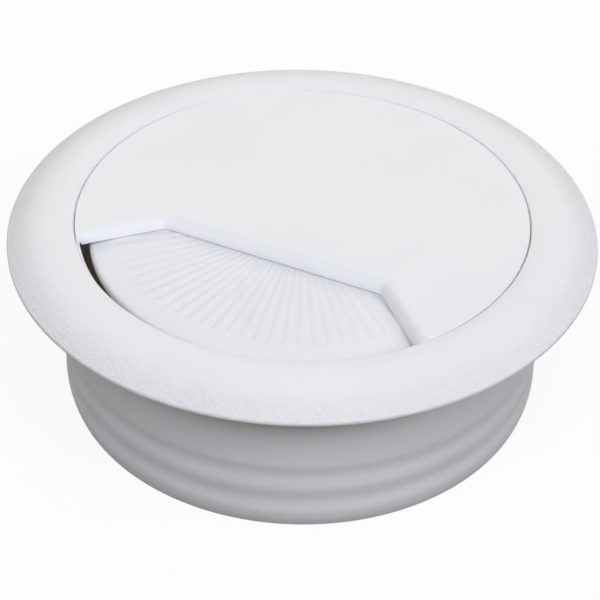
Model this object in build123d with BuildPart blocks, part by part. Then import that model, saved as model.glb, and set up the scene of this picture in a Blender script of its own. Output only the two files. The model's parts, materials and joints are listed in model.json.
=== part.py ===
from build123d import *
import os
from math import atan2, cos, degrees, radians, sin, tan

# Desk cable grommet for a 60 mm hole: a flanged liner, a flush lid with a cable notch in its rim,
# and a ribbed shutter that turns under the lid to close the notch.
# Millimetres, +Z up. The origin is on the grommet's axis, in the plane of the desk top under the flange.
# -Y points out through the middle of the cable notch.

# Desk hole and the liner's sleeve
hole_radius = 30.0
hole_clearance = 0.65
sleeve_depth = 21.0
sleeve_wall = 1.9
sleeve_draft = 0.4
rib_ring_count = 2
rib_ring_pitch = 3.75
rib_ring_depth = 0.17
lead_in_length = 2.3
lead_in_depth = 0.45
sleeve_end_round = 0.3

# Flange on the desk, and the seat that holds the lid flush with its top
flange_width = 5.65
flange_rim = 0.4
flange_rise = 2.0
flange_rim_round = 0.25
flange_foot_round = 0.1
lip_width = 1.85
lip_drop = 0.25
mouth_round = 0.2
seat_reach = 0.9
seat_width = 0.5
seat_thickness = 1.6

# Lid
lid_clearance = 0.08
lid_rim_thickness = 1.2
lid_thickness = 1.5
lid_rim_round = 0.2
spigot_clearance = 0.2
notch_reach = 8.5
notch_half_width = 13.85
notch_side_angle = 45.5
notch_corner_round = 0.8
notch_edge_round = 1.42
skirt_inset = 1.0
skirt_depth = 3.6
skirt_wall = 1.5
stop_gap_angle = 0.6

# Pivot pin moulded under the lid, with its end formed over into a head
pin_radius = 2.5
pin_clearance = 0.05
head_radius = 4.0
head_height = 1.2
head_gap = 0.1

# Shutter
shutter_gap = 0.06
shutter_rim_gap = 1.15
shutter_plate = 1.2
shutter_overlap_angle = 6.25
shutter_turn = 110.0
shutter_corner_round = 1.0
shutter_edge_round = 0.5
border_width = 2.5
border_drop = 0.35
hub_radius = 5.5
hub_height = 2.6
grip_rib_pitch_angle = 4.25
grip_rib_width_angle = 3.1
grip_rib_height = 0.12
grip_rib_root = 0.02
grip_rib_start = 4.0
grip_rib_end_slope = 1.2
grip_rib_side_margin_angle = 5.0

# Radii and heights that follow from these
sleeve_radius = hole_radius - hole_clearance
groove_radius = sleeve_radius - rib_ring_depth
wave_radius = sleeve_radius - rib_ring_depth / 2
lead_in_radius = sleeve_radius - lead_in_depth
bore_radius = sleeve_radius - sleeve_wall
flange_radius = sleeve_radius + flange_width
seat_radius = bore_radius - seat_reach
mouth_radius = seat_radius + seat_width
crest_radius = mouth_radius + lip_width
crest_z = flange_rim + flange_rise
top_z = crest_z - lip_drop
seat_z = top_z - lid_rim_thickness
seat_under_z = seat_z - seat_thickness
lead_in_z = lead_in_length - sleeve_depth
shank_z = lead_in_z + rib_ring_count * rib_ring_pitch
bore_top_radius = bore_radius - tan(radians(sleeve_draft)) * sleeve_depth

lid_radius = mouth_radius - lid_clearance
spigot_radius = seat_radius - spigot_clearance
skirt_radius = spigot_radius - skirt_inset
lid_under_z = top_z - lid_thickness

shutter_radius = seat_radius - shutter_rim_gap
shutter_top_z = lid_under_z - shutter_gap
plate_top_z = shutter_top_z - grip_rib_height
plate_under_z = plate_top_z - shutter_plate
hub_under_z = shutter_top_z - hub_height
head_top_z = hub_under_z - head_gap
head_under_z = head_top_z - head_height
notch_corner_angle = degrees(atan2(notch_half_width, notch_reach))
shutter_half_angle = notch_corner_angle + shutter_overlap_angle
grip_rib_end = shutter_radius - border_width
grip_rib_side_count = int((shutter_half_angle - grip_rib_side_margin_angle) / grip_rib_pitch_angle)

# A rib is a cone with its axis tilted down under the plate's top, so that the cone stands out of the plate
# by the crest angle along its middle and meets the plate half the rib's width away on each side
grip_rib_crest = atan2(grip_rib_height, grip_rib_end)
grip_rib_tilt = atan2(cos(grip_rib_crest) - cos(radians(grip_rib_width_angle / 2)), sin(grip_rib_crest))

# The notch faces -Y, and the closed shutter is centred on it
notch_angle = -90.0


def radial_plane(angle):
    """Plane through the axis: its x runs outward at this angle and its y runs up."""
    outward = (cos(radians(angle)), sin(radians(angle)), 0)
    across = (sin(radians(angle)), -cos(radians(angle)), 0)
    return Plane(origin=(0, 0, 0), x_dir=outward, z_dir=across)


os.makedirs("parts", exist_ok=True)

# Liner: domed flange, seat for the lid, and a sleeve with soft retaining rings round its lower end
with BuildPart() as liner:
    with BuildSketch(Plane.XZ):
        with BuildLine():
            Polyline((seat_radius, seat_z), (mouth_radius, seat_z), (mouth_radius, top_z))
            TangentArc((crest_radius, crest_z), (mouth_radius, top_z), tangent=(-1, 0))
            TangentArc((crest_radius, crest_z), (flange_radius, flange_rim), tangent=(1, 0))
            Polyline(
                (flange_radius, flange_rim),
                (flange_radius, 0),
                (sleeve_radius, 0),
                (sleeve_radius, shank_z),
            )
            for ring in range(rib_ring_count):
                ring_z = shank_z - ring * rib_ring_pitch
                groove = (groove_radius, ring_z - rib_ring_pitch / 2)
                upper_flank = (wave_radius, ring_z - rib_ring_pitch / 4)
                lower_flank = (wave_radius, ring_z - rib_ring_pitch * 3 / 4)
                TangentArc((sleeve_radius, ring_z), upper_flank, tangent=(0, -1))
                TangentArc(groove, upper_flank, tangent=(0, 1))
                TangentArc(groove, lower_flank, tangent=(0, -1))
                TangentArc((sleeve_radius, ring_z - rib_ring_pitch), lower_flank, tangent=(0, 1))
            TangentArc((sleeve_radius, lead_in_z), (lead_in_radius, -sleeve_depth), tangent=(0, -1))
            Polyline(
                (lead_in_radius, -sleeve_depth),
                (bore_radius, -sleeve_depth),
                (bore_top_radius, seat_under_z - (bore_top_radius - seat_radius)),
                (seat_radius, seat_under_z),
                (seat_radius, seat_z),
            )
        make_face()
    revolve(axis=Axis.Z)
    fillet(liner.edges().sort_by_distance((0, flange_radius, flange_rim))[0], flange_rim_round)
    fillet(liner.edges().sort_by_distance((0, flange_radius, 0))[0], flange_foot_round)
    fillet(liner.edges().sort_by_distance((0, mouth_radius, top_z))[0], mouth_round)
    fillet(liner.edges().group_by(Axis.Z)[0], sleeve_end_round)
liner.part.label = "liner"
export_step(liner.part, "parts/liner.step")

# Lid: flush disc with a stepped rim, cable notch, pivot pin, and a part skirt whose ends stop the shutter
with BuildPart() as lid:
    with BuildSketch(Plane.XY.offset(lid_under_z)):
        Circle(lid_radius)
    extrude(amount=lid_thickness)
    with BuildSketch(Plane.XY.offset(lid_under_z)) as notch:
        notch_flare = lid_radius * tan(radians(notch_side_angle))
        with BuildLine():
            Polyline(
                (-notch_half_width, -notch_reach),
                (notch_half_width, -notch_reach),
                (notch_half_width + notch_flare, -notch_reach - lid_radius),
                (-notch_half_width - notch_flare, -notch_reach - lid_radius),
                close=True,
            )
        make_face()
        fillet(notch.vertices().group_by(Axis.Y)[-1], notch_corner_round)
    extrude(amount=lid_thickness, mode=Mode.SUBTRACT)
    top_edges = lid.faces().sort_by(Axis.Z)[-1].edges().sort_by(SortBy.LENGTH)
    fillet(top_edges[:-1], notch_edge_round)
    with BuildSketch(Plane.XY.offset(lid_under_z)):
        Circle(mouth_radius)
        Circle(spigot_radius, mode=Mode.SUBTRACT)
    extrude(amount=seat_z - lid_under_z, mode=Mode.SUBTRACT)
    rim_edge = lid.faces().sort_by(Axis.Z)[-1].edges().sort_by(SortBy.LENGTH)[-1]
    fillet(rim_edge, lid_rim_round)
    with BuildSketch(Plane.XZ):
        with BuildLine():
            Polyline(
                (0, head_under_z),
                (0, lid_under_z),
                (pin_radius, lid_under_z),
                (pin_radius, head_top_z),
                (head_radius, head_top_z),
            )
            TangentArc((0, head_under_z), (head_radius, head_top_z), tangent=(1, 0))
        make_face()
    revolve(axis=Axis.Z)
    skirt_start_angle = notch_angle + shutter_half_angle + stop_gap_angle
    skirt_sweep_angle = 360 - 2 * shutter_half_angle - shutter_turn - 2 * stop_gap_angle
    with BuildSketch(radial_plane(skirt_start_angle)):
        with BuildLine():
            Polyline(
                (skirt_radius, lid_under_z),
                (skirt_radius, lid_under_z - skirt_depth),
                (skirt_radius - skirt_wall, lid_under_z - skirt_depth),
                (skirt_radius - skirt_wall, lid_under_z),
                close=True,
            )
        make_face()
    revolve(axis=Axis.Z, revolution_arc=skirt_sweep_angle)
lid.part.label = "lid"
export_step(lid.part, "parts/lid.step")

# One grip rib, along +X: the top of a slim cone that points at the axis, cut to a slope at its outer end
with BuildPart() as grip_rib:
    with BuildSketch(Plane.XZ):
        with BuildLine():
            Polyline(
                (grip_rib_start, plate_top_z - grip_rib_start * tan(grip_rib_tilt)),
                (grip_rib_start, plate_top_z + grip_rib_start * tan(grip_rib_crest)),
                (shutter_radius, plate_top_z + shutter_radius * tan(grip_rib_crest)),
                (shutter_radius, plate_top_z - shutter_radius * tan(grip_rib_tilt)),
                close=True,
            )
        make_face()
    revolve(axis=Axis((0, 0, plate_top_z), (cos(grip_rib_tilt), 0, -sin(grip_rib_tilt))))
    with BuildSketch(Plane.XZ):
        with BuildLine():
            Polyline(
                (0, plate_top_z - grip_rib_root),
                (0, shutter_top_z),
                (grip_rib_end - grip_rib_end_slope, shutter_top_z),
                (grip_rib_end, plate_top_z),
                (grip_rib_end, plate_top_z - grip_rib_root),
                close=True,
            )
        make_face()
    extrude(amount=shutter_radius, both=True, mode=Mode.INTERSECT)

# Shutter: fan-shaped plate with radial grip ribs, a sloping smooth border and a hub on the lid's pin
with BuildPart() as shutter:
    with BuildSketch(radial_plane(notch_angle - shutter_half_angle)):
        with BuildLine():
            Polyline(
                (0, plate_top_z),
                (grip_rib_end, plate_top_z),
                (shutter_radius, plate_top_z - border_drop),
                (shutter_radius, plate_under_z),
                (0, plate_under_z),
                close=True,
            )
        make_face()
    revolve(axis=Axis.Z, revolution_arc=2 * shutter_half_angle)
    rim_corners = shutter.edges().filter_by(Axis.Z).sort_by_distance((0, 0, 0))[-2:]
    fillet(rim_corners, shutter_corner_round)
    rim_edge = shutter.edges().sort_by_distance((0, -shutter_radius, plate_top_z - border_drop))[0]
    fillet(rim_edge, shutter_edge_round)
    grip_rib_span = 2 * grip_rib_side_count * grip_rib_pitch_angle
    with PolarLocations(
        0,
        2 * grip_rib_side_count + 1,
        start_angle=notch_angle - grip_rib_span / 2,
        angular_range=grip_rib_span,
        endpoint=True,
    ):
        add(grip_rib.part)
    with BuildSketch(Plane.XY.offset(hub_under_z)):
        Circle(hub_radius)
    extrude(amount=hub_height)
    with BuildSketch(Plane.XY.offset(hub_under_z)):
        Circle(pin_radius + pin_clearance)
    extrude(amount=hub_height, mode=Mode.SUBTRACT)
shutter.part.label = "shutter"
export_step(shutter.part, "parts/shutter.step")
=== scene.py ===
import json
import math

import bmesh
import bpy
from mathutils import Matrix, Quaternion, Vector


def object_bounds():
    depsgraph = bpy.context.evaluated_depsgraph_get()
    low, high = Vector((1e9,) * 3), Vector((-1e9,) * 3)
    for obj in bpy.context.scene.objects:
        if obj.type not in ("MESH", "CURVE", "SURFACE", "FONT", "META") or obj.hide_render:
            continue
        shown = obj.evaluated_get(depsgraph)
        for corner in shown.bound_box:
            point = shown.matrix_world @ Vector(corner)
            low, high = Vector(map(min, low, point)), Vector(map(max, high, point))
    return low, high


bl_info = {
    "name": "Desk cable grommet",
    "version": (1, 0, 0),
    "blender": (4, 5, 0),
    "location": "3D View > Sidebar > Grommet",
    "description": "White moulded plastic for a desk cable grommet, and the studio it is seen in",
    "category": "3D View",
}

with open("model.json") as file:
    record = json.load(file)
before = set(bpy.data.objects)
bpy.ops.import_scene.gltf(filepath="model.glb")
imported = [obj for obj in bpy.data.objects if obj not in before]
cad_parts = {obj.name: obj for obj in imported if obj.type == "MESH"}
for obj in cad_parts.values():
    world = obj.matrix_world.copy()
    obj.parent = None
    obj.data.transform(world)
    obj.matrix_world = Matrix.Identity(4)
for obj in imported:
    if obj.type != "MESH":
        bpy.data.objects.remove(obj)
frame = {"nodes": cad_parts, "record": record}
cad_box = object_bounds()

WHITE = (1.0, 1.0, 1.0, 1.0)
MOUNTS = {m["name"]: m for m in frame["record"]["mounts"]}
SLEEVE_RADIUS = MOUNTS["sleeve"]["dims"]["r_mm"] / 1000.0
SLOT_COLOUR = {m["slot"]: tuple(m["base_color"]) for m in frame["record"]["materials"]}

# The shutter's plastic, as a share of its slot's colour
SHUTTER_SHADE = 0.95

# Strength of the grain, and of the painted shade in its pits, on the faces of each piece that are seen in use
LINER_GRAIN = 1.0
LID_GRAIN = 0.2
SHUTTER_GRAIN = 0.25

# Radius of the circle that the ejector marks lie on, in metres
LID_MARK_RADIUS = 0.0165
SHUTTER_MARK_RADIUS = 0.0135

# How far a face looks up, as its normal's Z, where a finish starts and where it is full
SEEN_FACE = (0.1, 0.45)
SLOPING_FACE = (0.985, 0.9)
UNDER_FACE = (-0.5, -0.9)

# Detail of each noise and the share of its finer lumps
FLOW_DETAIL = (3.0, 0.5)
PIT_DETAIL = (2.0, 0.6)
STREAK_DETAIL = (3.0, 0.55)

# A noise's middle level, and the levels that the flow's tone and the painted shade in the grain's pits change
# between
NOISE_MIDDLE = 0.5
FLOW_LEVELS = (0.42, 0.75)
PIT_LEVELS = (0.36, 0.54)

PLASTIC_IOR = 1.5

# Azimuth from the front of the notch and elevation, in degrees, then width and height in metres, of each lamp
LAMP_PLACES = {
    "overhead_lamp": (0.0, 90.0, 0.9, 0.9),
    "front_lamp": (24.0, 51.0, 1.9, 0.34),
    "back_lamp": (-150.0, 35.0, 1.2, 0.4),
    "right_lamp": (90.0, 30.0, 0.7, 0.4),
    "left_lamp": (-15.0, 25.0, 0.7, 0.4),
}
LAMP_DISTANCE = 0.9

# Under the wall of the sleeve the floor changes from the open end inside to the plain floor outside
SLEEVE_FOOT = (SLEEVE_RADIUS - 0.002, SLEEVE_RADIUS - 0.001)
FLOOR_SEGMENTS = 96

# What the light from under the desk is multiplied by on its way into the sleeve
DESK_GLOOM = (0.55, 0.45, 0.3, 1.0)

# Height in the room, as a direction's Z, where the dark walls end and where the ceiling is full
CEILING = (0.2, 0.75)
WALL_GREY = (0.01, 0.01, 0.01, 1.0)

# Camera's sensor in millimetres, and the nearest and furthest things that it sees in metres
SENSOR_WIDTH = 36.0
CLIP_START = 0.01
CLIP_END = 20.0

# Sockets of the Mix node when it mixes colours
MIX_FACTOR, MIX_A, MIX_B, MIX_RESULT = 0, 6, 7, 2


class Wire:
    """An output socket in a node tree. Sums and products of wires add Math nodes to the tree."""

    def __init__(self, tree, socket=None):
        self.tree = tree
        self.socket = socket

    def node(self, kind, settings=None, sockets=None, output=0):
        """Add a node: its settings first, then the values or wires of its sockets, by name or place."""
        added = self.tree.nodes.new(kind)
        for name, value in (settings or {}).items():
            setattr(added, name, value)
        for key, value in (sockets or {}).items():
            if isinstance(value, Wire):
                self.tree.links.new(value.socket, added.inputs[key])
            else:
                added.inputs[key].default_value = value
        return Wire(self.tree, added.outputs[output] if added.outputs else None)

    def maths(self, operation, first, second=0.0):
        """A Math node on one or two values or wires."""
        return self.node("ShaderNodeMath", {"operation": operation}, {0: first, 1: second})

    def sibling(self, name):
        """Another output of the node that this wire comes from."""
        return Wire(self.tree, self.socket.node.outputs[name])

    def __add__(self, other):
        return self.maths("ADD", self, other)

    __radd__ = __add__

    def __sub__(self, other):
        return self.maths("SUBTRACT", self, other)

    def __rsub__(self, other):
        return self.maths("SUBTRACT", other, self)

    def __mul__(self, other):
        return self.maths("MULTIPLY", self, other)

    __rmul__ = __mul__

    def between(self, low, high):
        """0 at low, 1 at high, and a smooth change between them, where low may be the larger."""
        return self.node(
            "ShaderNodeMapRange",
            {"interpolation_type": "SMOOTHSTEP"},
            {"Value": self, "From Min": low, "From Max": high},
        )

    def stretched(self, x, y, z):
        """This vector with its parts multiplied by x, y and z."""
        return self.node("ShaderNodeVectorMath", {"operation": "MULTIPLY"}, {0: self, 1: (x, y, z)})

    def noise(self, place, size, detail, roughness):
        """Noise whose lumps are about this size, in metres."""
        return self.node(
            "ShaderNodeTexNoise",
            {"noise_dimensions": "3D"},
            {"Vector": place, "Scale": 1.0 / size, "Detail": detail, "Roughness": roughness},
        )

    def mix_colour(self, blend, factor, first, second):
        """Mix of two colours, each a wire or three numbers."""
        first, second = (c if isinstance(c, Wire) else (*c, 1.0) for c in (first, second))
        return self.node(
            "ShaderNodeMix",
            {"data_type": "RGBA", "blend_type": blend},
            {MIX_FACTOR: factor, MIX_A: first, MIX_B: second},
            MIX_RESULT,
        )

    def mix_shader(self, factor, first, second):
        """Mix of two shaders: the first where the factor is 0, the second where it is 1."""
        return self.node("ShaderNodeMixShader", None, {0: factor, 1: first, 2: second})


class GrommetPlastic(bpy.types.PropertyGroup):
    """Colours and surface of the moulded plastic."""

    liner_colour: bpy.props.FloatVectorProperty(
        name="Liner",
        description="Colour of the liner's plastic",
        subtype="COLOR",
        min=0.0,
        max=1.0,
        default=SLOT_COLOUR["liner_plastic"],
    )
    lid_colour: bpy.props.FloatVectorProperty(
        name="Lid",
        description="Colour of the lid's plastic",
        subtype="COLOR",
        min=0.0,
        max=1.0,
        default=SLOT_COLOUR["lid_plastic"],
    )
    # Its default is the slot's colour darkened by SHUTTER_SHADE
    shutter_colour: bpy.props.FloatVectorProperty(
        name="Shutter",
        description="Colour of the shutter's plastic, a shade greyer than the lid's",
        subtype="COLOR",
        min=0.0,
        max=1.0,
        default=tuple(SHUTTER_SHADE * level for level in SLOT_COLOUR["shutter_plastic"]),
    )
    flow_tint: bpy.props.FloatVectorProperty(
        name="Flow tint",
        description="What the plastic's colour is multiplied by where the melt ran thicker",
        subtype="COLOR",
        min=0.0,
        max=1.0,
        default=(0.972, 0.973, 0.978),
    )
    flow_size: bpy.props.FloatProperty(
        name="Flow size",
        description="Width of the clouds that the flow of the melt leaves in the tone",
        unit="LENGTH",
        min=0.0,
        default=0.018,
    )
    # Painted shade: the colour is darkened by this tint at the bottom of the grain's pits
    pit_shade_tint: bpy.props.FloatVectorProperty(
        name="Pit tint",
        description="What the colour is multiplied by at the bottom of the grain's pits",
        subtype="COLOR",
        min=0.0,
        max=1.0,
        default=(0.955, 0.957, 0.962),
    )
    roughness: bpy.props.FloatProperty(
        name="Roughness",
        description="Roughness of the satin surface",
        subtype="FACTOR",
        min=0.0,
        max=1.0,
        default=0.46,
    )
    roughness_spread: bpy.props.FloatProperty(
        name="Roughness spread",
        description="How far the grain changes the roughness",
        subtype="FACTOR",
        min=0.0,
        max=1.0,
        default=0.2,
    )
    side_roughness: bpy.props.FloatProperty(
        name="Side roughness",
        description="Roughness of the sides and undersides",
        subtype="FACTOR",
        min=0.0,
        max=1.0,
        default=0.62,
    )
    gloss: bpy.props.FloatProperty(
        name="Gloss",
        description="Strength of the surface's reflections",
        subtype="FACTOR",
        min=0.0,
        max=1.0,
        default=0.25,
    )
    grain_size: bpy.props.FloatProperty(
        name="Grain size",
        description="Width of the pits that the spark-eroded mould leaves",
        unit="LENGTH",
        min=0.0,
        default=0.00025,
    )
    grain_depth: bpy.props.FloatProperty(
        name="Grain depth",
        description="Depth of the deepest grain",
        unit="LENGTH",
        min=0.0,
        default=0.00014,
    )
    quiet_grain: bpy.props.FloatProperty(
        name="Level grain",
        description="Strength of the grain on level faces, as a share of that on sloping ones",
        subtype="FACTOR",
        min=0.0,
        max=1.0,
        default=0.22,
    )
    hidden_grain: bpy.props.FloatProperty(
        name="Side grain",
        description="Strength of the grain on sides and undersides",
        subtype="FACTOR",
        min=0.0,
        max=1.0,
        default=0.12,
    )
    draw_size: bpy.props.FloatProperty(
        name="Draw mark width",
        description="Width of the marks where the sides were drawn from the mould",
        unit="LENGTH",
        min=0.0,
        default=0.0009,
    )
    draw_stretch: bpy.props.FloatProperty(
        name="Draw mark stretch",
        description="Width of the draw marks, as a share of their length",
        subtype="FACTOR",
        min=0.0,
        max=1.0,
        default=0.04,
    )
    draw_depth_share: bpy.props.FloatProperty(
        name="Draw mark depth",
        description="Depth of the draw marks, as a share of the grain's",
        subtype="FACTOR",
        min=0.0,
        max=1.0,
        default=0.25,
    )
    mark_count: bpy.props.IntProperty(
        name="Ejector marks",
        description="Number of round ejector marks on a hidden face",
        min=1,
        default=6,
    )
    mark_size: bpy.props.FloatProperty(
        name="Ejector mark",
        description="Radius of an ejector mark",
        unit="LENGTH",
        min=0.0,
        default=0.0015,
    )
    mark_edge: bpy.props.FloatProperty(
        name="Ejector mark edge",
        description="Width of the step round an ejector mark",
        unit="LENGTH",
        min=0.0,
        default=0.00015,
    )


class GrommetStudio(bpy.types.PropertyGroup):
    """Camera, lamps and floor."""

    azimuth: bpy.props.FloatProperty(
        name="Azimuth",
        description="Where the camera stands round the grommet, from the front of the notch",
        subtype="ANGLE",
        default=math.radians(25.0),
    )
    elevation: bpy.props.FloatProperty(
        name="Elevation",
        description="Height of the camera above the desk's plane",
        subtype="ANGLE",
        default=math.radians(36.42),
    )
    roll: bpy.props.FloatProperty(
        name="Roll",
        description="Tilt of the camera about its own line of sight",
        subtype="ANGLE",
        default=math.radians(0.99),
    )
    distance: bpy.props.FloatProperty(
        name="Distance",
        description="From the camera to the middle of the grommet",
        unit="LENGTH",
        default=0.2054,
    )
    aim: bpy.props.FloatVectorProperty(
        name="Aim",
        description="Point that the camera looks at",
        subtype="TRANSLATION",
        unit="LENGTH",
        default=(-0.000134, -0.000063, -0.01133),
    )
    lens: bpy.props.FloatProperty(
        name="Lens",
        description="Focal length in millimetres on a 36 mm sensor",
        default=103.0,
    )
    overhead_power: bpy.props.FloatProperty(
        name="Overhead lamp",
        description="Power of the large round lamp straight above",
        unit="POWER",
        default=0.95,
    )
    overhead_colour: bpy.props.FloatVectorProperty(
        name="Overhead colour",
        description="Colour of the lamp above",
        subtype="COLOR",
        min=0.0,
        max=1.0,
        default=(1.0, 0.93, 0.68),
    )
    front_power: bpy.props.FloatProperty(
        name="Front lamp",
        description="Power of the wide lamp in front, above the camera",
        unit="POWER",
        default=6.6,
    )
    front_colour: bpy.props.FloatVectorProperty(
        name="Front colour",
        description="Colour of the lamp in front",
        subtype="COLOR",
        min=0.0,
        max=1.0,
        default=(0.87, 0.91, 1.0),
    )
    back_power: bpy.props.FloatProperty(
        name="Back lamp",
        description="Power of the lamp behind, to the left",
        unit="POWER",
        default=3.0,
    )
    back_colour: bpy.props.FloatVectorProperty(
        name="Back colour",
        description="Colour of the lamp behind",
        subtype="COLOR",
        min=0.0,
        max=1.0,
        default=(1.0, 0.965, 0.90),
    )
    right_power: bpy.props.FloatProperty(
        name="Right lamp",
        description="Power of the low lamp on the right",
        unit="POWER",
        default=2.4,
    )
    left_power: bpy.props.FloatProperty(
        name="Left lamp",
        description="Power of the low lamp in front, to the left",
        unit="POWER",
        default=0.9,
    )
    side_colour: bpy.props.FloatVectorProperty(
        name="Side colour",
        description="Colour of the two low lamps",
        subtype="COLOR",
        min=0.0,
        max=1.0,
        default=(0.93, 0.955, 1.0),
    )
    sky_colour: bpy.props.FloatVectorProperty(
        name="Room light",
        description="Colour and level of the light from the ceiling and from under the desk",
        subtype="COLOR",
        min=0.0,
        max=1.0,
        default=(0.12, 0.113, 0.103),
    )
    floor_colour: bpy.props.FloatVectorProperty(
        name="Floor",
        description="Colour of the light that the floor throws back at the grommet",
        subtype="COLOR",
        min=0.0,
        max=1.0,
        default=(0.09, 0.05, 0.015),
    )
    floor_white: bpy.props.FloatProperty(
        name="Floor white",
        description="How far the floor is seen as plain white, which leaves the rest to its shadows",
        subtype="FACTOR",
        min=0.0,
        max=1.0,
        default=0.88,
    )


def new_tree(owner):
    """Empty a material's or world's nodes and return a wire to start from."""
    owner.use_nodes = True
    owner.node_tree.nodes.clear()
    return Wire(owner.node_tree)


def moulded_plastic(name, colour, plastic, grain_face, mark_radius=0.0):
    """White moulded plastic: grain on the faces seen in use, draw marks down the sides, faint flow tone.

    grain_face is how strong the grain and the painted shade in its pits are on upward faces, where they show
    most on their sloping rims.
    A mark radius puts the round marks of the ejector pins on downward faces, on a circle of that
    radius about the axis.
    """
    material = bpy.data.materials.new(name)
    start = new_tree(material)
    place = start.node("ShaderNodeTexCoord", output="Object")
    facing = start.node("ShaderNodeTexCoord", output="Normal")
    upward = start.node("ShaderNodeSeparateXYZ", None, {0: facing}, "Z")
    show_face = upward.between(*SEEN_FACE)
    sloping = upward.between(*SLOPING_FACE)
    # Strength of the grain and of its painted pit shade: full on sloping upward faces, quiet_grain of that on
    # level ones
    grained = show_face * (plastic.quiet_grain + sloping * (1.0 - plastic.quiet_grain)) * grain_face

    flow = start.noise(place, plastic.flow_size, *FLOW_DETAIL)
    clouded = start.mix_colour("MULTIPLY", flow.between(*FLOW_LEVELS), colour, plastic.flow_tint)

    pits = start.noise(place, plastic.grain_size, *PIT_DETAIL)
    pit_height = pits - NOISE_MIDDLE
    drawn_out = place.stretched(1.0, 1.0, plastic.draw_stretch)
    streaks = start.noise(drawn_out, plastic.draw_size, *STREAK_DETAIL)
    grain = pit_height * (grained + (1.0 - show_face) * plastic.hidden_grain)
    drawn = (streaks - NOISE_MIDDLE) * (1.0 - show_face) * plastic.draw_depth_share
    relief = grain + drawn
    if mark_radius:
        marks = ejector_marks(start, place, mark_radius, plastic)
        relief = relief + marks * upward.between(*UNDER_FACE)

    bump = start.node(
        "ShaderNodeBump",
        None,
        {"Strength": 1.0, "Distance": plastic.grain_depth, "Height": relief},
    )
    # Painted shade at the bottom of the grain's pits, darkening the colour where the grain is strong
    pit_shade = 1.0 - pits.between(*PIT_LEVELS)
    base = start.mix_colour("MULTIPLY", pit_shade * grained, clouded, plastic.pit_shade_tint)
    rougher_side = (1.0 - show_face) * (plastic.side_roughness - plastic.roughness)
    roughness = plastic.roughness + rougher_side + pit_height * plastic.roughness_spread
    skin = start.node(
        "ShaderNodeBsdfPrincipled",
        None,
        {
            "Base Color": base,
            "Roughness": roughness,
            "Normal": bump,
            "IOR": PLASTIC_IOR,
            "Specular IOR Level": plastic.gloss,
        },
    )
    start.node("ShaderNodeOutputMaterial", None, {"Surface": skin})
    return material


def ejector_marks(start, place, mark_radius, plastic):
    """Shallow round marks, evenly spaced on a circle about the axis: 1 inside a mark, 0 outside."""
    across = start.node("ShaderNodeSeparateXYZ", None, {0: place}, "X")
    x, y = across, across.sibling("Y")
    sector = math.tau / plastic.mark_count
    turn = start.maths("FLOORED_MODULO", start.maths("ARCTAN2", y, x), sector) - sector / 2.0
    reach = start.maths("SQRT", x * x + y * y)
    along = reach * start.maths("COSINE", turn) - mark_radius
    aside = reach * start.maths("SINE", turn)
    away = start.maths("SQRT", along * along + aside * aside)
    return 1.0 - away.between(plastic.mark_size - plastic.mark_edge, plastic.mark_size)


def dress(node, material):
    """Give a node of the frame one material all over."""
    slots = frame["nodes"][node].data.materials
    slots.clear()
    slots.append(material)


class GROMMET_OT_liner(bpy.types.Operator):
    """Finish the flanged liner in white satin plastic"""

    bl_idname = "grommet.liner"
    bl_label = "Finish liner"

    def execute(self, context):
        plastic = context.scene.grommet_plastic
        dress("liner", moulded_plastic("liner_plastic", plastic.liner_colour, plastic, LINER_GRAIN))
        return {"FINISHED"}


class GROMMET_OT_lid(bpy.types.Operator):
    """Finish the notched lid in white satin plastic"""

    bl_idname = "grommet.lid"
    bl_label = "Finish lid"

    def execute(self, context):
        plastic = context.scene.grommet_plastic
        finish = moulded_plastic("lid_plastic", plastic.lid_colour, plastic, LID_GRAIN, LID_MARK_RADIUS)
        dress("lid", finish)
        return {"FINISHED"}


class GROMMET_OT_shutter(bpy.types.Operator):
    """Finish the ribbed shutter in white satin plastic"""

    bl_idname = "grommet.shutter"
    bl_label = "Finish shutter"

    def execute(self, context):
        plastic = context.scene.grommet_plastic
        colour = plastic.shutter_colour
        finish = moulded_plastic("shutter_plastic", colour, plastic, SHUTTER_GRAIN, SHUTTER_MARK_RADIUS)
        dress("shutter", finish)
        return {"FINISHED"}


def from_polar(azimuth, elevation, distance):
    """Point at this distance from the origin, with azimuth 0 in front of the notch, along -Y."""
    return Vector(
        (
            math.sin(azimuth) * math.cos(elevation),
            -math.cos(azimuth) * math.cos(elevation),
            math.sin(elevation),
        )
    ) * distance


def looking(place, target):
    """Rotation that turns a camera or lamp at place towards target."""
    return (target - place).to_track_quat("-Z", "Y")


def seen_directly(start):
    """1 for rays from the camera, a gloss or a clear surface, and 0 for rays that light things."""
    from_camera = start.node("ShaderNodeLightPath", output="Is Camera Ray")
    reflected = start.maths("MAXIMUM", from_camera, from_camera.sibling("Is Glossy Ray"))
    return start.maths("MAXIMUM", reflected, from_camera.sibling("Is Transmission Ray"))


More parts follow.
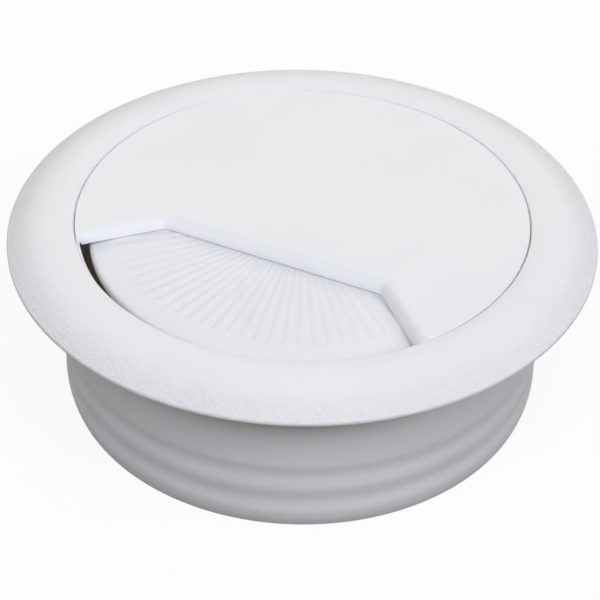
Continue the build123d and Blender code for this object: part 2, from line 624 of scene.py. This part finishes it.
class GROMMET_OT_studio(bpy.types.Operator):
    """Set out the floor, the room's light, the lamps and the camera"""

    bl_idname = "grommet.studio"
    bl_label = "Set out studio"

    floor_radius: bpy.props.FloatProperty(
        name="Floor radius",
        description="How far the floor reaches",
        unit="LENGTH",
        default=3.0,
    )

    def execute(self, context):
        studio = context.scene.grommet_studio
        self.lay_floor(context, studio)
        self.light_room(context, studio)
        self.hang_lamps(context, studio)
        self.place_camera(context, studio)
        context.scene.view_settings.view_transform = "Standard"
        return {"FINISHED"}

    def lay_floor(self, context, studio):
        """Floor that is seen nearly white, keeps the shadow, and is clear from below."""
        mesh = bpy.data.meshes.new("floor")
        disc = bmesh.new()
        bmesh.ops.create_circle(disc, cap_ends=True, segments=FLOOR_SEGMENTS, radius=self.floor_radius)
        disc.to_mesh(mesh)
        disc.free()
        floor = bpy.data.objects.new("floor", mesh)
        floor.location.z = cad_box[0].z
        context.scene.collection.objects.link(floor)

        material = bpy.data.materials.new("floor_paint")
        start = new_tree(material)
        bounce = start.node("ShaderNodeBsdfDiffuse", None, {"Color": (*studio.floor_colour, 1.0)})
        paint = start.node("ShaderNodeBsdfDiffuse", None, {"Color": WHITE})
        glow = start.node("ShaderNodeEmission", None, {"Color": WHITE, "Strength": 1.0})
        place = start.node("ShaderNodeTexCoord", output="Object")
        away = start.node("ShaderNodeVectorMath", {"operation": "LENGTH"}, {0: place}, "Value")
        outside = away.between(*SLEEVE_FOOT)
        clear = start.node("ShaderNodeBsdfTransparent")
        gloom = start.node("ShaderNodeBsdfTransparent", None, {"Color": DESK_GLOOM})
        lighting = start.mix_shader(outside, gloom, bounce)
        seen = start.mix_shader(outside * studio.floor_white, paint, glow)
        upper_side = start.mix_shader(seen_directly(start), lighting, seen)
        from_below = start.node("ShaderNodeNewGeometry", output="Backfacing")
        floor_skin = start.mix_shader(from_below, upper_side, clear)
        start.node("ShaderNodeOutputMaterial", None, {"Surface": floor_skin})
        mesh.materials.append(material)

    def light_room(self, context, studio):
        """Room that is seen white, and lights the grommet from its ceiling and from under the desk."""
        room = bpy.data.worlds.new("room")
        context.scene.world = room
        start = new_tree(room)
        direction = start.node("ShaderNodeTexCoord", output="Generated")
        height = start.node("ShaderNodeSeparateXYZ", None, {0: direction}, "Z")
        above_or_below = start.maths("ABSOLUTE", height).between(*CEILING)
        walls = start.node("ShaderNodeBackground", None, {"Color": WALL_GREY})
        glow = start.node("ShaderNodeBackground", None, {"Color": (*studio.sky_colour, 1.0)})
        white = start.node("ShaderNodeBackground", None, {"Color": WHITE})
        lighting = start.mix_shader(above_or_below, walls, glow)
        room_skin = start.mix_shader(seen_directly(start), lighting, white)
        start.node("ShaderNodeOutputWorld", None, {"Surface": room_skin})

    def hang_lamps(self, context, studio):
        """Soft lamps round the grommet, each turned to the origin."""
        shades = {
            "overhead_lamp": (studio.overhead_power, studio.overhead_colour),
            "front_lamp": (studio.front_power, studio.front_colour),
            "back_lamp": (studio.back_power, studio.back_colour),
            "right_lamp": (studio.right_power, studio.side_colour),
            "left_lamp": (studio.left_power, studio.side_colour),
        }
        for name, (azimuth, elevation, width, height) in LAMP_PLACES.items():
            light = bpy.data.lights.new(name, "AREA")
            light.shape = "ELLIPSE"
            light.size, light.size_y = width, height
            light.energy, light.color = shades[name]
            lamp = bpy.data.objects.new(name, light)
            place = from_polar(math.radians(azimuth), math.radians(elevation), LAMP_DISTANCE)
            lamp.location = place
            lamp.rotation_mode = "QUATERNION"
            lamp.rotation_quaternion = looking(place, Vector())
            context.scene.collection.objects.link(lamp)

    def place_camera(self, context, studio):
        """Camera that sees the grommet as the photograph does."""
        place = from_polar(studio.azimuth, studio.elevation, studio.distance)
        data = bpy.data.cameras.new("photo_camera")
        data.lens = studio.lens
        data.sensor_width = SENSOR_WIDTH
        data.clip_start = CLIP_START
        data.clip_end = CLIP_END
        camera = bpy.data.objects.new("photo_camera", data)
        camera.location = place
        camera.rotation_mode = "QUATERNION"
        roll = Quaternion((0.0, 0.0, 1.0), studio.roll)
        camera.rotation_quaternion = looking(place, Vector(studio.aim)) @ roll
        context.scene.collection.objects.link(camera)
        context.scene.camera = camera


class GROMMET_PT_panel(bpy.types.Panel):
    """Finishes of the grommet and the studio it is seen in"""

    bl_idname = "GROMMET_PT_panel"
    bl_label = "Desk cable grommet"
    bl_space_type = "VIEW_3D"
    bl_region_type = "UI"
    bl_category = "Grommet"

    def draw(self, context):
        for operator in OPERATORS:
            self.layout.operator(operator.bl_idname)
        for settings in (context.scene.grommet_plastic, context.scene.grommet_studio):
            box = self.layout.box()
            for name in settings.__annotations__:
                box.prop(settings, name)


SETTINGS = (GrommetPlastic, GrommetStudio)
OPERATORS = (GROMMET_OT_liner, GROMMET_OT_lid, GROMMET_OT_shutter, GROMMET_OT_studio)
CLASSES = (*SETTINGS, *OPERATORS, GROMMET_PT_panel)


def register():
    for cls in CLASSES:
        bpy.utils.register_class(cls)
    bpy.types.Scene.grommet_plastic = bpy.props.PointerProperty(type=GrommetPlastic)
    bpy.types.Scene.grommet_studio = bpy.props.PointerProperty(type=GrommetStudio)


def unregister():
    del bpy.types.Scene.grommet_studio
    del bpy.types.Scene.grommet_plastic
    for cls in reversed(CLASSES):
        bpy.utils.unregister_class(cls)


def main():
    register()
    bpy.ops.grommet.liner()
    bpy.ops.grommet.lid()
    bpy.ops.grommet.shutter()
    bpy.ops.grommet.studio()


if __name__ == "__main__":
    main()
